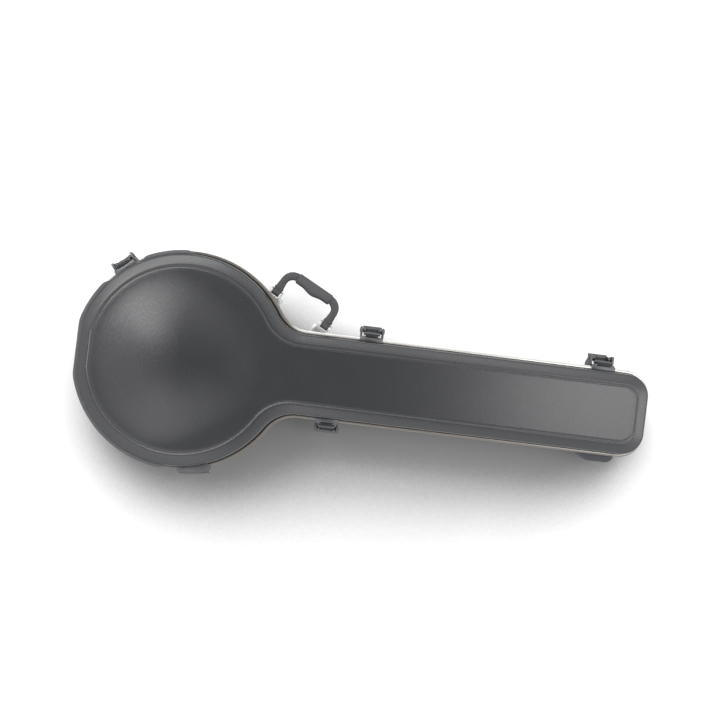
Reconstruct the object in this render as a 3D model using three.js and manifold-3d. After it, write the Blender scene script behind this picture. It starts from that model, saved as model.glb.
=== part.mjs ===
// A moulded hard case for a resonator banjo, lying on its back with the lid up.
// Millimetres. It is built about the centre of the round body and stood on its origin at the end:
// +X runs along the neck to the peghead end, +Y is the handle side, +Z is up.
import * as THREE from 'three';
import { mergeVertices } from 'three/addons/utils/BufferGeometryUtils.js';
import Module from 'manifold-3d';

const wasm = await Module();
wasm.setup();

// Driving dimensions of the outline that the rails follow, seen from above
const bodyRadius = 205;
const tailFlat = 6.5;
const neckWidth = 161.5;
const neckReach = 881.5;
const neckCornerRadius = 46;
const throatRadius = 66;
const tailCornerRadius = 60;
const tailReach = bodyRadius - tailFlat;

// Driving dimensions of the depth
const footHeight = 8;
const baseDepth = 92;
const lidDepth = 46;
const domeRise = 15.5;

// Fits
const clearance = 0.3;
const pinPlay = 0.3;
const overrun = 6;

// Moulded shells: walls set in from the rails, their draft and the crowned rim round the pressed panel
const shellWall = 4;
const wallSet = 4.5;
const railLap = 1;
const railRecess = wallSet + railLap;
const baseDraft = 4;
const lidDraft = 0.8;
const rimRise = 14;
const rimBandBody = 31.5;
const rimBandTail = 28;
const rimBandNeck = 29;
const rimBandEnd = 28.5;
const panelCornerRadius = 24;
const panelThroatRadius = 82;
const panelDrop = 1;
const grooveDrop = 2;
const grooveBevel = 2.4;
const rimCrestShare = 0.84;

// Dome of the lid, which dies out along the neck
const domeThroatOverhang = 71;
const domeSink = 0.4;
const domeFadeShare = 1.3;
const domeFadeStart = THREE.MathUtils.degToRad(40);
const domeFadeEnd = THREE.MathUtils.degToRad(12);

// Aluminium rails on the two edges, with a tongue and groove
const railHeight = 15;
const lidRailProud = 1;
const baseRailProud = 2.5;
const baseFlange = 2;
const lidFlange = 4;
const railGap = 0.4;
const tongueInset = 2;
const tongueWidth = 1.5;
const tongueHeight = 1.5;
const tonguePlay = 0.6;

// Bumper strips round the tail half
const bumperProud = 1;
const lidBumperHeight = 17;
const baseBumperHeight = 26;
const bumperLift = 3;
const bumperTopAngle = THREE.MathUtils.degToRad(89);
const bumperEndAngle = THREE.MathUtils.degToRad(269);
const bumperBreakAngle = THREE.MathUtils.degToRad(9.5);

// Draw latches: a channel, a lever on trunnions, a hook on a pin and a keeper on the lid
const latchWidth = 45;
const latchCheek = 4;
const latchReach = 24.5;
const latchFloor = 6;
const seatReach = 12;
const latchTopDrop = 3;
const latchShoulder = 12;
const latchLength = 47;
const leverPivotReach = 18;
const leverPivotDrop = 13;
const leverBarrelRadius = 4.4;
const leverPlateIn = 1.4;
const leverPlateThickness = 4;
const leverWindow = 16;
const leverLength = 40;
const leverLip = 4;
const leverArm = 5.6;
const trunnionRadius = 2.2;
const boreReach = 60;
const hookThrow = 9;
const hookLead = THREE.MathUtils.degToRad(-100);
const hookEyeRadius = 3.8;
const hookPinRadius = 1.8;
const hookWidth = 24;
const hookPlate = 3.5;
const hookStandIn = 1.2;
const hookToe = 3.3;
const keeperWidth = 42;
const keeperLedgeTop = 16.8;
const keeperLedgeThickness = 6;
const keeperReach = 6.3;
const keeperPlate = 2;
const keeperHeight = 25;
const keeperFoot = 2;

// Where the latches stand: along the neck, and round the body from +X
const nearLatchBeyondBody = 144;
const farLatchBeyondBody = 79;
const endLatchInset = 91;
const handleSideLatchPlaces = [bodyRadius + nearLatchBeyondBody, neckReach - endLatchInset];
const hingeSideLatchPlace = bodyRadius + farLatchBeyondBody;
const lockLatchAngle = THREE.MathUtils.degToRad(129);

// Key lock in the lever of the body's latch
const lockRadius = 6;
const lockProud = 1.5;
const lockDrop = 30;
const lockSlotWidth = 1.4;
const lockSlotLength = 7;
const lockCamLength = 10;
const lockCamWidth = 6;
const lockCamThickness = 2.5;

// Hinge on the far side of the body: its axis touches the round body past the neck's own direction,
// but still runs clear of the neck's far corner
const hingeTurn = THREE.MathUtils.degToRad(7);
const hingeStart = -10;
const hingeLength = 58;
const hingeEndKnuckle = 12;
const hingeKnuckleRadius = 4.2;
const hingePinRadius = 2;
const hingeStandoff = 0.6;
const hingeSideGap = 0.6;
const hingeLeafHeight = 26;
const hingeLeafStart = 8;
const hingeLeafIn = 2;
const hingeSeatDepth = 50;

// Carrying handle across the throat
const throatSeatAngle = THREE.MathUtils.degToRad(-59.6);
const handleBodyGap = 11.3;
const handleThroatGap = 8.2;
const handleSpan = 114;
const handleReach = 55.7;
const handleBar = 16;
const handleThickness = 12;
const handleBend = 20;
const handleDrop = 24;
const handleEdge = 3;
const handlePinRadius = 2.5;
const gripLength = 76;
const gripOut = 2.2;
const gripIn = 7;
const gripThickness = 20;
const gripEdge = 4;
const bracketEar = 4;
const bracketSlot = 6.8;
const bracketHalfHeight = 7;
const bracketFlange = 7;

// Stand foot on the far side of the neck, and the feet under the back
const standFootInset = 76;
const standFootWidth = 65;
const standFootReach = 17;
const standFootRound = 16;
const standFootHeight = 56;
const backFootRadius = 13;
const backFootTaper = 2;
const bodyFootInset = 55;
const neckFootSideInset = 47;
const neckFootInset = 62;

// Plush liner of the base, and its bays
const linerWall = 19.5;
const linerTopDrop = 4;
const bodyBayFloor = 24;
const neckBayFloor = 50;
const pegheadBayLength = 190;
const pegheadBaySideWall = 19.5;
const bayCorner = 8;
const accessoryBayBeyondBody = 97;
const accessoryBayLength = 80;
const accessoryBaySideWall = 21;
const accessoryBayPlace = bodyRadius + accessoryBayBeyondBody;
const accessoryBayHalf = neckWidth / 2 - accessoryBaySideWall;
const accessoryBayFloor = 18;
const accessoryWall = 3;
const accessoryLidThickness = 4;
const lidLinerThickness = 6;
const neckRestInset = 286;
const neckRestPlace = neckReach - neckRestInset;
const neckRestLength = 45;
const neckRestHeight = 22;
const neckRestTroughRadius = 30;
const neckRestTroughDepth = 17;

// Steps along arcs
const cornerSteps = 4;
const throatSteps = 5;
const bodySteps = 16;
const tailSteps = 3;
const rimSteps = 5;
const roundSteps = 12;
const domeRings = 5;
const domeSpokes = 48;
const sectorSteps = 5;
const curveSteps = 4;
const bowSteps = 5;
const edgeSteps = 2;

// Heights worked out from the driving dimensions
const quarterTurn = Math.PI / 2;
const partingZ = footHeight + baseDepth;
const lidTopZ = partingZ + lidDepth;
const panelTopZ = lidTopZ - panelDrop;
const baseRailTop = partingZ - railGap / 2;
const lidRailBottom = partingZ + railGap / 2;
const baseEdgeZ = baseRailTop - baseFlange - clearance;
const lidEdgeZ = lidRailBottom + lidFlange + clearance;
const baseRailBottom = baseRailTop - railHeight;
const lidRailTop = lidRailBottom + railHeight;
const shellInset = railRecess + shellWall;
const lidCeilingZ = panelTopZ - shellWall;

const black = { color: 0x2b2c2e, roughness: 0.55, metalness: 0 };
const hardwareGrey = { color: 0x3c3e41, roughness: 0.5, metalness: 0 };
const bumperGrey = { color: 0x55585c, roughness: 0.6, metalness: 0 };
const gripGrey = { color: 0x4d4f52, roughness: 0.7, metalness: 0 };
const footGrey = { color: 0x6c737b, roughness: 0.8, metalness: 0 };
const aluminium = { color: 0xcfcfc8, roughness: 0.35, metalness: 1 };
const steel = { color: 0xb9bcc0, roughness: 0.3, metalness: 1 };
const plush = { color: 0x2a2f3a, roughness: 1, metalness: 0 };

const banjoCase = new THREE.Group();

// Outline of the case, moved inwards by an inset
function caseOutline(inset) {
  return {
    radius: bodyRadius - inset,
    tail: tailReach - inset,
    half: neckWidth / 2 - inset,
    reach: neckReach - inset,
    corner: neckCornerRadius - inset,
    throat: throatRadius + inset,
    tailCorner: tailCornerRadius - inset,
  };
}

// Outline of the pressed panel, which the rim band surrounds
function panelOutline(inset) {
  return {
    radius: bodyRadius - rimBandBody - inset,
    tail: tailReach - rimBandTail - inset,
    half: neckWidth / 2 - rimBandNeck - inset,
    reach: neckReach - rimBandEnd - inset,
    corner: panelCornerRadius - inset,
    throat: panelThroatRadius + inset,
    tailCorner: tailCornerRadius - rimBandBody - inset,
  };
}

function arc(x, y, radius, from, to, steps) {
  const points = [];
  for (let i = 0; i <= steps; i += 1) {
    const angle = from + ((to - from) * i) / steps;
    points.push(new THREE.Vector2(x + radius * Math.cos(angle), y + radius * Math.sin(angle)));
  }
  return points;
}

// Points of an outline, counter-clockwise, as many for every outline
function ring(outline) {
  const { radius, tail, half, reach, corner, throat, tailCorner } = outline;
  const throatX = Math.sqrt((radius + throat) ** 2 - (half + throat) ** 2);
  const throatAngle = Math.atan2(half + throat, throatX);
  const tailX = tail - tailCorner;
  const tailY = Math.sqrt((radius - tailCorner) ** 2 - tailX ** 2);
  const tailAngle = Math.PI - Math.atan2(tailY, tailX);
  const upper = [
    ...arc(reach - corner, half - corner, corner, 0, quarterTurn, cornerSteps),
    ...arc(throatX, half + throat, throat, -quarterTurn, throatAngle - Math.PI, throatSteps),
    ...arc(0, 0, radius, throatAngle, tailAngle, bodySteps).slice(1),
    ...arc(-tailX, tailY, tailCorner, tailAngle, Math.PI, tailSteps).slice(1),
  ];
  const lower = upper.map((point) => new THREE.Vector2(point.x, -point.y)).reverse();
  return [...upper, ...lower];
}

function blend(from, to, share) {
  return from.map((point, i) => point.clone().lerp(to[i], share));
}

function wallLevel(inset, z) {
  return { points: ring(caseOutline(inset)), z };
}

function panelLevel(inset, z) {
  return { points: ring(panelOutline(inset)), z };
}

// The crowned rim: a quarter ellipse from the wall in to its crest
function rimCurve(wallInset, panelInset, edgeZ, rise) {
  const wall = ring(caseOutline(wallInset));
  const panel = ring(panelOutline(panelInset));
  const levels = [];
  for (let i = 0; i <= rimSteps; i += 1) {
    const angle = (quarterTurn * i) / rimSteps;
    const share = rimCrestShare * (1 - Math.cos(angle));
    levels.push({ points: blend(wall, panel, share), z: edgeZ + rise * Math.sin(angle) });
  }
  return levels;
}

function signedVolume(positions, index) {
  const a = new THREE.Vector3();
  const b = new THREE.Vector3();
  const c = new THREE.Vector3();
  let volume = 0;
  for (let i = 0; i < index.length; i += 3) {
    a.fromArray(positions, index[i] * 3);
    b.fromArray(positions, index[i + 1] * 3);
    c.fromArray(positions, index[i + 2] * 3);
    volume += a.dot(b.cross(c));
  }
  return volume;
}

// A closed surface whose faces are turned to point out
function surface(positions, index) {
  const turned = signedVolume(positions, index) < 0 ? index.slice().reverse() : index;
  const geometry = new THREE.BufferGeometry();
  geometry.setAttribute('position', new THREE.Float32BufferAttribute(positions, 3));
  geometry.setIndex(turned);
  return geometry;
}

function bandBetween(index, count, lowStart, highStart) {
  for (let i = 0; i < count; i += 1) {
    const next = (i + 1) % count;
    index.push(lowStart + i, lowStart + next, highStart + next);
    index.push(lowStart + i, highStart + next, highStart + i);
  }
}

// Skins a stack of rings and closes its two ends
function loft(levels) {
  const count = levels[0].points.length;
  const positions = levels.flatMap((level) => level.points.flatMap((point) => [point.x, point.y, level.z]));
  const index = [];
  for (let k = 0; k + 1 < levels.length; k += 1) {
    bandBetween(index, count, k * count, (k + 1) * count);
  }
  const last = (levels.length - 1) * count;
  const lowCap = THREE.ShapeUtils.triangulateShape(levels[0].points, []);
  const highCap = THREE.ShapeUtils.triangulateShape(levels[levels.length - 1].points, []);
  lowCap.forEach(([a, b, c]) => index.push(c, b, a));
  highCap.forEach(([a, b, c]) => index.push(last + a, last + b, last + c));
  return surface(positions, index);
}

// Sweeps a closed section, given as pairs of inset and height, round the case
function sweptFrame(section) {
  const levels = section.map(([inset, z]) => wallLevel(inset, z));
  const count = levels[0].points.length;
  const positions = levels.flatMap((level) => level.points.flatMap((point) => [point.x, point.y, level.z]));
  const index = [];
  for (let k = 0; k < levels.length; k += 1) {
    bandBetween(index, count, k * count, ((k + 1) % levels.length) * count);
  }
  return surface(positions, index);
}

function toSolid(geometry) {
  const bare = geometry.clone();
  bare.deleteAttribute('normal');
  bare.deleteAttribute('uv');
  const merged = mergeVertices(bare);
  return new wasm.Manifold(new wasm.Mesh({
    numProp: 3,
    vertProperties: new Float32Array(merged.attributes.position.array),
    triVerts: new Uint32Array(merged.index.array),
  }));
}

function toGeometry(solid) {
  const mesh = solid.getMesh();
  const geometry = new THREE.BufferGeometry();
  geometry.setAttribute('position', new THREE.Float32BufferAttribute(mesh.vertProperties, 3));
  geometry.setIndex(Array.from(mesh.triVerts));
  return geometry;
}

function join(...geometries) {
  return toGeometry(geometries.map(toSolid).reduce((whole, solid) => whole.add(solid)));
}

function cut(geometry, ...cutters) {
  return toGeometry(cutters.map(toSolid).reduce((rest, solid) => rest.subtract(solid), toSolid(geometry)));
}

function common(geometry, other) {
  return toGeometry(toSolid(geometry).intersect(toSolid(other)));
}

function block(lowX, highX, lowY, highY, lowZ, highZ) {
  const geometry = new THREE.BoxGeometry(highX - lowX, highY - lowY, highZ - lowZ);
  return geometry.translate((lowX + highX) / 2, (lowY + highY) / 2, (lowZ + highZ) / 2);
}

function rodAlongX(radius, from, to, y, z) {
  const geometry = new THREE.CylinderGeometry(radius, radius, to - from, roundSteps);
  return geometry.rotateZ(quarterTurn).translate((from + to) / 2, y, z);
}

function rodAlongY(radius, from, to, x, z) {
  const geometry = new THREE.CylinderGeometry(radius, radius, to - from, roundSteps);
  return geometry.translate(x, (from + to) / 2, z);
}

// Extrudes a section drawn outwards and upwards, across the width between two sides
function acrossWidth(shape, from, to) {
  const geometry = new THREE.ExtrudeGeometry(shape, { depth: to - from, bevelEnabled: false, curveSegments: curveSteps });
  return geometry.rotateX(quarterTurn).translate(0, to, 0);
}

function polygon(points) {
  return new THREE.Shape(points.map(([x, y]) => new THREE.Vector2(x, y)));
}

function upright(shape, lowZ, highZ) {
  const geometry = new THREE.ExtrudeGeometry(shape, { depth: highZ - lowZ, bevelEnabled: false, curveSegments: curveSteps });
  return geometry.translate(0, 0, lowZ);
}

function roundedRectangle(lowX, highX, halfY, radius) {
  const shape = new THREE.Shape();
  shape.absarc(highX - radius, halfY - radius, radius, 0, quarterTurn);
  shape.absarc(lowX + radius, halfY - radius, radius, quarterTurn, Math.PI);
  shape.absarc(lowX + radius, radius - halfY, radius, Math.PI, Math.PI + quarterTurn);
  shape.absarc(highX - radius, radius - halfY, radius, Math.PI + quarterTurn, Math.PI * 2);
  return shape;
}

function addPart(parent, name, geometry, finish) {
  const material = new THREE.MeshStandardMaterial({ ...finish, flatShading: true });
  const mesh = new THREE.Mesh(geometry, material);
  mesh.name = name;
  parent.add(mesh);
  return mesh;
}

// A group whose X points out of the wall, with its origin on the outline at the parting plane
function wallPlace(x, y, angle) {
  const place = new THREE.Group();
  place.position.set(x, y, partingZ);
  place.rotation.z = angle;
  place.updateMatrix();
  banjoCase.add(place);
  return place;
}

// The outside of the closed case with its rails, swollen by the clearance
const caseBlank = loft([
  wallLevel(wallSet + baseDraft - clearance, footHeight),
  wallLevel(wallSet + baseDraft - clearance, footHeight + rimRise),
  wallLevel(wallSet - clearance, baseRailBottom - clearance),
  wallLevel(-baseRailProud - clearance, baseRailBottom - clearance),
  wallLevel(-baseRailProud - clearance, lidRailBottom),
  wallLevel(-lidRailProud - clearance, lidRailBottom),
  wallLevel(-lidRailProud - clearance, lidRailTop + clearance),
  wallLevel(wallSet - clearance, lidRailTop + clearance),
  wallLevel(wallSet + lidDraft - clearance, lidTopZ),
]);

// Cuts away what a piece of a wall place would share with the closed case
function seatOnWall(geometry, place) {
  const blank = caseBlank.clone().applyMatrix4(place.matrix.clone().invert());
  return cut(geometry, blank);
}

// Shells

function innerRim(draft, edgeZ, rise, extra) {
  return rimCurve(shellInset + draft + extra, extra, edgeZ, rise).reverse();
}

function shellLevels({ sign, edgeZ, railEndZ, crestZ, draft }) {
  const rimZ = crestZ - sign * rimRise;
  const innerRise = sign * (rimRise - panelDrop - shellWall);
  return [
    ...innerRim(draft, rimZ, innerRise, 0),
    wallLevel(shellInset, edgeZ),
    wallLevel(railRecess, edgeZ),
    wallLevel(railRecess, railEndZ),
    wallLevel(wallSet, railEndZ),
    ...rimCurve(wallSet + draft, 0, rimZ, sign * rimRise),
    panelLevel(0, crestZ - sign * grooveDrop),
    panelLevel(grooveBevel, crestZ - sign * panelDrop),
  ];
}

// How far a ray from the body's centre runs before it meets an outline
function rayReach(points, angle) {
  const ray = new THREE.Vector2(Math.cos(angle), Math.sin(angle));
  let reach = Infinity;
  points.forEach((from, i) => {
    const along = points[(i + 1) % points.length].clone().sub(from);
    const across = ray.cross(along);
    const share = from.cross(ray) / across;
    const distance = from.cross(along) / across;
    if (share >= 0 && share <= 1 && distance > 0) {
      reach = Math.min(reach, distance);
    }
  });
  return reach;
}

// A dome over the body's panel, closed by a flat underside
function domeSolid(topZ, undersideZ) {
  const panel = ring(panelOutline(grooveBevel));
  const positions = [0, 0, topZ + domeRise];
  const index = [];
  for (let k = 1; k <= domeRings; k += 1) {
    for (let i = 0; i < domeSpokes; i += 1) {
      const angle = (Math.PI * 2 * i) / domeSpokes;
      const turn = Math.min(angle, Math.PI * 2 - angle);
      const fade = 1 - THREE.MathUtils.smoothstep(turn, domeFadeEnd, domeFadeStart);
      const reach = Math.min(rayReach(panel, angle), bodyRadius + domeThroatOverhang);
      const share = k / domeRings;
      const crown = 1 - share ** 2;
      const height = (domeRise + domeSink) * crown ** (1 + domeFadeShare * fade) - domeSink;
      positions.push(reach * share * Math.cos(angle), reach * share * Math.sin(angle), topZ + height);
    }
  }
  const rim = 1 + (domeRings - 1) * domeSpokes;
  const foot = rim + domeSpokes;
  for (let i = 0; i < domeSpokes; i += 1) {
    positions.push(positions[(rim + i) * 3], positions[(rim + i) * 3 + 1], undersideZ);
  }
  positions.push(0, 0, undersideZ);
  for (let i = 0; i < domeSpokes; i += 1) {
    const next = (i + 1) % domeSpokes;
    index.push(0, 1 + i, 1 + next);
    index.push(foot + domeSpokes, foot + next, foot + i);
  }
  for (let k = 0; k <= domeRings - 1; k += 1) {
    bandBetween(index, domeSpokes, 1 + (k + 1) * domeSpokes, 1 + k * domeSpokes);
  }
  return surface(positions, index);
}

function addShells() {
  const base = loft(shellLevels({
    sign: -1, edgeZ: baseEdgeZ, railEndZ: baseRailBottom - clearance, crestZ: footHeight, draft: baseDraft,
  }));
  addPart(banjoCase, 'base_shell', base, black);
  const lid = loft(shellLevels({
    sign: 1, edgeZ: lidEdgeZ, railEndZ: lidRailTop + clearance, crestZ: lidTopZ, draft: lidDraft,
  }));
  const dome = domeSolid(panelTopZ, panelTopZ - shellWall / 2);
  const hollow = domeSolid(lidCeilingZ, lidCeilingZ - overrun);
  addPart(banjoCase, 'lid_shell', cut(join(lid, dome), hollow), black);
}

// Rails on the two edges
function addRails() {
  const seat = railRecess - clearance;
  const flangeEnd = shellInset + clearance;
  const tongueEnd = tongueInset + tongueWidth;
  const grooveTop = lidRailBottom + tongueHeight + tonguePlay;
  addPart(banjoCase, 'base_rail', sweptFrame([
    [-baseRailProud, baseRailBottom],
    [-baseRailProud, baseRailTop],
    [tongueInset, baseRailTop],
    [tongueInset, baseRailTop + tongueHeight],
    [tongueEnd, baseRailTop + tongueHeight],
    [tongueEnd, baseRailTop],
    [flangeEnd, baseRailTop],
    [flangeEnd, baseRailTop - baseFlange],
    [seat, baseRailTop - baseFlange],
    [seat, baseRailBottom],
  ]), aluminium);
  addPart(banjoCase, 'lid_rail', sweptFrame([
    [-lidRailProud, lidRailTop],
    [-lidRailProud, lidRailBottom],
    [tongueInset - tonguePlay, lidRailBottom],
    [tongueInset - tonguePlay, grooveTop],
    [tongueEnd + tonguePlay, grooveTop],
    [tongueEnd + tonguePlay, lidRailBottom],
    [flangeEnd, lidRailBottom],
    [flangeEnd, lidRailBottom + lidFlange],
    [seat, lidRailBottom + lidFlange],
    [seat, lidRailTop],
  ]), aluminium);
}

// A prism that keeps what lies between two bearings from the body's centre
function sector(from, to, lowZ, highZ) {
  const reach = (bodyRadius + bumperProud) * 2;
  const shape = new THREE.Shape();
  shape.moveTo(0, 0);
  arc(0, 0, reach, from, to, sectorSteps).forEach((point) => shape.lineTo(point.x, point.y));
  return upright(shape, lowZ, highZ);
}

// Bumper strips round the tail half, broken where the lock latch stands
function addBumpers() {
  const breakStart = lockLatchAngle - bumperBreakAngle;
  const breakEnd = lockLatchAngle + bumperBreakAngle;
  const lidLow = lidRailTop + bumperLift;
  const lidHigh = lidLow + lidBumperHeight;
  const baseHigh = baseRailBottom - bumperLift;
  const baseLow = baseHigh - baseBumperHeight;
  const baseSlope = baseDraft / (baseRailBottom - footHeight - rimRise);
  const lidSlope = lidDraft / (lidTopZ - rimRise - lidRailTop);
  const strips = [
    ['lid_bumper', lidLow, lidHigh, (z) => wallSet + (z - lidRailTop) * lidSlope],
    ['base_bumper', baseLow, baseHigh, (z) => wallSet + (baseRailBottom - z) * baseSlope],
  ];
  for (const [name, lowZ, highZ, wallInset] of strips) {
    const frame = sweptFrame([
      [-bumperProud, lowZ],
      [-bumperProud, highZ],
      [wallInset(highZ) - clearance, highZ],
      [wallInset(lowZ) - clearance, lowZ],
    ]);
    const upper = sector(bumperTopAngle, breakStart, lowZ - overrun, highZ + overrun);
    const tail = sector(breakEnd, bumperEndAngle, lowZ - overrun, highZ + overrun);
    addPart(banjoCase, `${name}_short`, common(frame, upper), bumperGrey);
    addPart(banjoCase, `${name}_tail`, common(frame, tail), bumperGrey);
  }
}

// Latches

const hookPinReach = leverPivotReach + hookThrow * Math.cos(hookLead);
const hookPinDrop = leverPivotDrop - hookThrow * Math.sin(hookLead);
const leverHalf = latchWidth / 2 - latchCheek - clearance;
const leverTip = leverPivotDrop + leverLength;

function latchHousing(place) {
  const low = -latchTopDrop - latchLength;
  const half = latchWidth / 2;
  const floor = acrossWidth(polygon([
    [-seatReach, low], [latchFloor, low], [latchFloor, -latchTopDrop], [-seatReach, -latchTopDrop],
  ]), -half, half);
  const ear = polygon([
    [-seatReach, low],
    [latchFloor + latchCheek, low],
    [latchReach - latchCheek, -leverPivotDrop - latchShoulder],
    [latchReach, -leverPivotDrop - latchFloor],
    [latchReach, -leverPivotDrop + latchCheek],
    [latchReach - latchCheek, -latchTopDrop],
    [-seatReach, -latchTopDrop],
  ]);
  const ears = [acrossWidth(ear, -half, latchCheek - half), acrossWidth(ear, half - latchCheek, half)];
  const bore = rodAlongY(trunnionRadius + pinPlay, -half - overrun, half + overrun, leverPivotReach, -leverPivotDrop);
  return seatOnWall(cut(join(floor, ...ears), bore), place);
}

function latchLever(hasLock) {
  const armIn = leverHalf - leverArm;
  const plateIn = leverPivotReach + leverPlateIn;
  const plateOut = plateIn + leverPlateThickness;
  const eye = hookEyeRadius;
  const arm = new THREE.Shape();
  arm.absarc(leverPivotReach, -leverPivotDrop, leverBarrelRadius, 0, Math.PI);
  arm.absarc(hookPinReach, -hookPinDrop, eye, Math.PI, Math.PI + quarterTurn);
  arm.lineTo(plateIn, -hookPinDrop - eye);
  arm.lineTo(plateIn, -leverPivotDrop - leverWindow - leverArm);
  arm.lineTo(plateOut, -leverPivotDrop - leverWindow - leverArm);
  const plate = polygon([
    [plateIn, -leverPivotDrop - leverWindow],
    [plateIn, -leverTip + leverLip],
    [plateOut, -leverTip],
    [plateOut + leverLip, -leverTip],
    [plateOut + leverLip, -leverTip + leverPlateThickness / 2],
    [plateOut, -leverTip + leverLip * 2],
    [plateOut, -leverPivotDrop - leverWindow],
  ]);
  const trunnionEnd = latchWidth / 2 - clearance;
  const body = join(
    acrossWidth(arm, -leverHalf, -armIn),
    acrossWidth(arm, armIn, leverHalf),
    acrossWidth(plate, -leverHalf, leverHalf),
    rodAlongY(trunnionRadius, -trunnionEnd, -armIn, leverPivotReach, -leverPivotDrop),
    rodAlongY(trunnionRadius, armIn, trunnionEnd, leverPivotReach, -leverPivotDrop),
  );
  const pinBore = rodAlongY(hookPinRadius + pinPlay, -boreReach, boreReach, hookPinReach, -hookPinDrop);
  if (!hasLock) {
    return cut(body, pinBore);
  }
  const lockBore = rodAlongX(lockRadius + pinPlay, plateIn - overrun, plateOut + overrun, 0, -leverPivotDrop - lockDrop);
  return cut(body, pinBore, lockBore);
}

function latchHook() {
  const inner = latchFloor + hookStandIn;
  const outer = inner + hookPlate;
  const toeUnder = keeperLedgeTop + clearance;
  const shape = new THREE.Shape();
  shape.absarc(hookPinReach, -hookPinDrop, hookEyeRadius, Math.PI + quarterTurn, Math.PI * 2 + quarterTurn);
  shape.lineTo(outer, -leverPivotDrop + hookEyeRadius);
  shape.lineTo(outer, toeUnder + hookPlate);
  shape.lineTo(inner - hookToe, toeUnder + hookPlate);
  shape.lineTo(inner - hookToe, toeUnder);
  shape.lineTo(inner, toeUnder);
  shape.lineTo(inner, -hookPinDrop + hookEyeRadius);
  shape.lineTo(hookPinReach - hookEyeRadius, -hookPinDrop - hookPinRadius);
  const bore = rodAlongY(hookPinRadius + pinPlay, -boreReach, boreReach, hookPinReach, -hookPinDrop);
  return cut(acrossWidth(shape, -hookWidth / 2, hookWidth / 2), bore);
}

function latchKeeper(place) {
  const half = keeperWidth / 2;
  const plateFace = lidRailProud + clearance + keeperPlate;
  const outline = polygon([
    [-seatReach, keeperFoot],
    [plateFace, keeperFoot],
    [plateFace, keeperLedgeTop - keeperLedgeThickness],
    [keeperReach, keeperLedgeTop - keeperPlate],
    [keeperReach, keeperLedgeTop],
    [plateFace, keeperLedgeTop],
    [plateFace, keeperHeight],
    [-seatReach, keeperHeight],
  ]);
  return seatOnWall(acrossWidth(outline, -half, half), place);
}

function addLock(place) {
  const face = leverPivotReach + leverPlateIn + leverPlateThickness + lockProud;
  const back = leverPivotReach + leverPlateIn - clearance;
  const z = -leverPivotDrop - lockDrop;
  const plug = rodAlongX(lockRadius, back - lockCamThickness, face, 0, z);
  const cam = block(
    back - lockCamThickness, back, -lockCamWidth / 2, lockCamWidth / 2, z - lockCamLength, z,
  );
  const slot = block(
    face - lockProud, face + overrun, -lockSlotWidth / 2, lockSlotWidth / 2,
    z - lockSlotLength / 2, z + lockSlotLength / 2,
  );
  addPart(place, 'lock_latch_cylinder', cut(join(plug, cam), slot), steel);
}

function addLatch(name, place, hasLock) {
  addPart(place, `${name}_housing`, latchHousing(place), hardwareGrey);
  addPart(place, `${name}_lever`, latchLever(hasLock), hardwareGrey);
  addPart(place, `${name}_hook`, latchHook(), hardwareGrey);
  const pin = rodAlongY(hookPinRadius, -leverHalf, leverHalf, hookPinReach, -hookPinDrop);
  addPart(place, `${name}_hook_pin`, pin, steel);
  addPart(place, `${name}_keeper`, latchKeeper(place), hardwareGrey);
  if (hasLock) {
    addLock(place);
  }
}

function addLatches() {
  const lockX = bodyRadius * Math.cos(lockLatchAngle);
  const lockY = bodyRadius * Math.sin(lockLatchAngle);
  addLatch('lock_latch', wallPlace(lockX, lockY, lockLatchAngle), true);
  handleSideLatchPlaces.forEach((x, i) => {
    addLatch(`neck_latch_${i + 1}`, wallPlace(x, neckWidth / 2, quarterTurn), false);
  });
  addLatch('far_latch', wallPlace(hingeSideLatchPlace, -neckWidth / 2, -quarterTurn), false);
}

// Hinge: a leaf on each shell, knuckles in turn and one pin
function addHinge() {
  const axisY = -(bodyRadius + baseRailProud + hingeKnuckleRadius + hingeStandoff);
  const end = hingeStart + hingeLength;
  const inner = axisY + hingeSeatDepth;
  const leafY = axisY + hingeLeafIn;
  const here = new THREE.Group();
  here.rotation.z = hingeTurn;
  here.updateMatrix();
  banjoCase.add(here);
  const webHalf = hingePinRadius + hingeLeafIn;
  function knuckle(from, to, sign) {
    const low = Math.min(partingZ + sign * railGap, partingZ + sign * (hingeLeafStart + hingeLeafIn));
    const high = Math.max(partingZ + sign * railGap, partingZ + sign * (hingeLeafStart + hingeLeafIn));
    return [
      rodAlongX(hingeKnuckleRadius, from, to, axisY, partingZ),
      block(from, to, axisY - webHalf, inner, low, high),
    ];
  }
  function leaf(sign) {
    const near = partingZ + sign * hingeLeafStart;
    const far = partingZ + sign * hingeLeafHeight;
    return block(hingeStart, end, leafY, inner, Math.min(near, far), Math.max(near, far));
  }
  const bore = rodAlongX(hingePinRadius + pinPlay, hingeStart - overrun, end + overrun, axisY, partingZ);
  const innerStart = hingeStart + hingeEndKnuckle;
  const innerEnd = end - hingeEndKnuckle;
  const baseLeaf = join(
    leaf(-1),
    ...knuckle(hingeStart, innerStart - hingeSideGap, -1),
    ...knuckle(innerEnd + hingeSideGap, end, -1),
  );
  const lidLeaf = join(leaf(1), ...knuckle(innerStart, innerEnd, 1));
  addPart(here, 'hinge_base_leaf', seatOnWall(cut(baseLeaf, bore), here), hardwareGrey);
  addPart(here, 'hinge_lid_leaf', seatOnWall(cut(lidLeaf, bore), here), hardwareGrey);
  addPart(here, 'hinge_pin', rodAlongX(hingePinRadius, hingeStart, end, axisY, partingZ), steel);
}

// Carrying handle

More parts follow.
